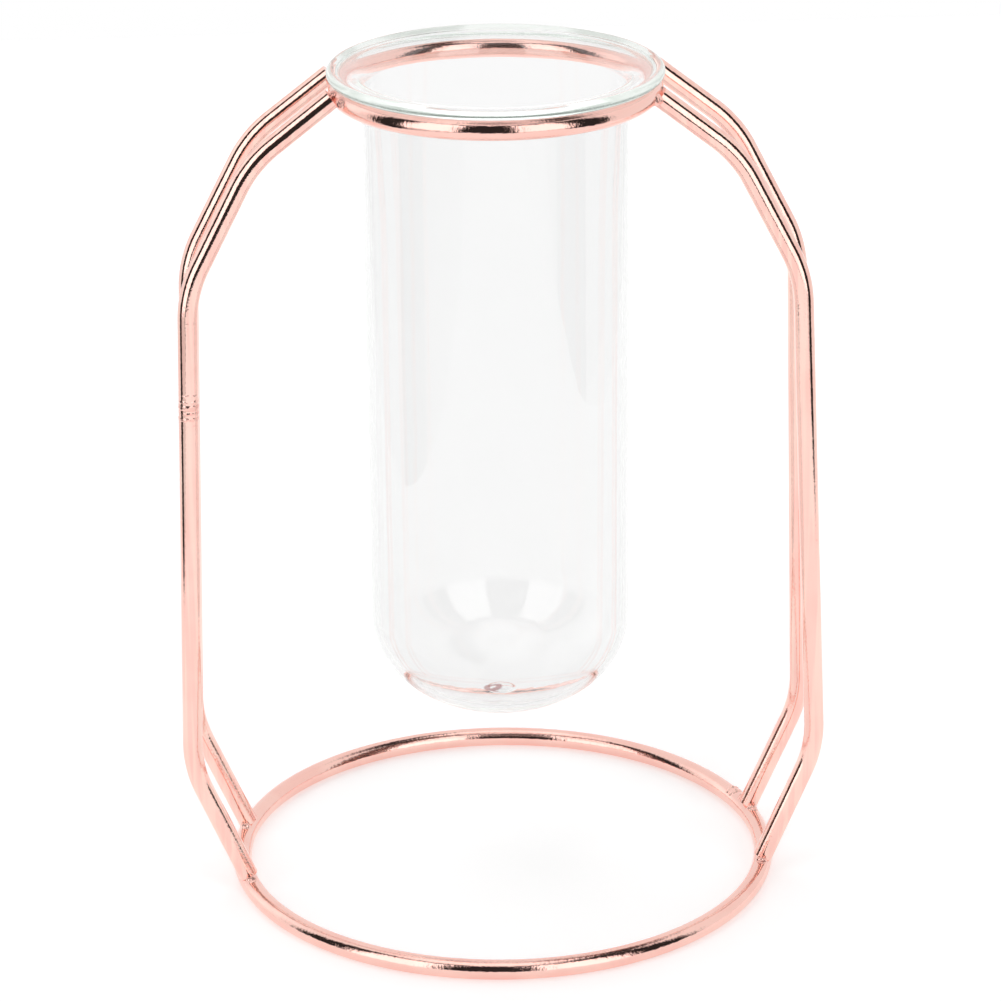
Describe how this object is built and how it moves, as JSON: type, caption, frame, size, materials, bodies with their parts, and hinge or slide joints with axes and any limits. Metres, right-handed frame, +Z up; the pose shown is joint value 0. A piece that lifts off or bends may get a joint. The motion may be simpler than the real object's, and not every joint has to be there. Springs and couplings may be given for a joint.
{
  "type": "hydroponic vase",
  "caption": "Glass tube vase with a flared rim, hung in a bent-wire stand with a small holding ring, angled legs and a wide base ring, for growing stems or cuttings in water.",
  "frame": {"origin": "on the table, under the middle of both rings", "axes": "+Z up along the glass tube, +X across from one pair of legs to the other, -Y the front"},
  "size_m": [0.1144, 0.0984, 0.1488],
  "materials": {
    "plated_wire": "bright rose gold plating on steel wire",
    "plated_weld": "rough weld bead under the same bright rose gold plating",
    "clear_glass": "clear polished glass"
  },
  "bodies": {
    "stand": {"top_ring": "plated_wire", "top_ring_seam_weld": "plated_weld", "base_ring": "plated_wire", "base_ring_seam_weld": "plated_weld", "front_left_leg_upper": "plated_wire", "front_left_leg_lower": "plated_wire", "front_left_leg_splice_weld": "plated_weld", "front_right_leg": "plated_wire", "back_left_leg": "plated_wire", "back_right_leg": "plated_wire", "front_left_top_weld": "plated_weld", "front_right_top_weld": "plated_weld", "back_left_top_weld": "plated_weld", "back_right_top_weld": "plated_weld", "front_left_foot_weld": "plated_weld", "front_right_foot_weld": "plated_weld", "back_left_foot_weld": "plated_weld", "back_right_foot_weld": "plated_weld"},
    "tube": {"glass_tube": "clear_glass"}
  },
  "joints": [
    {"name": "tube_lift", "type": "slide", "parent": "stand", "child": "tube", "axis": [0, 0, 1], "range_m": [0, 0.12]}
  ]
}
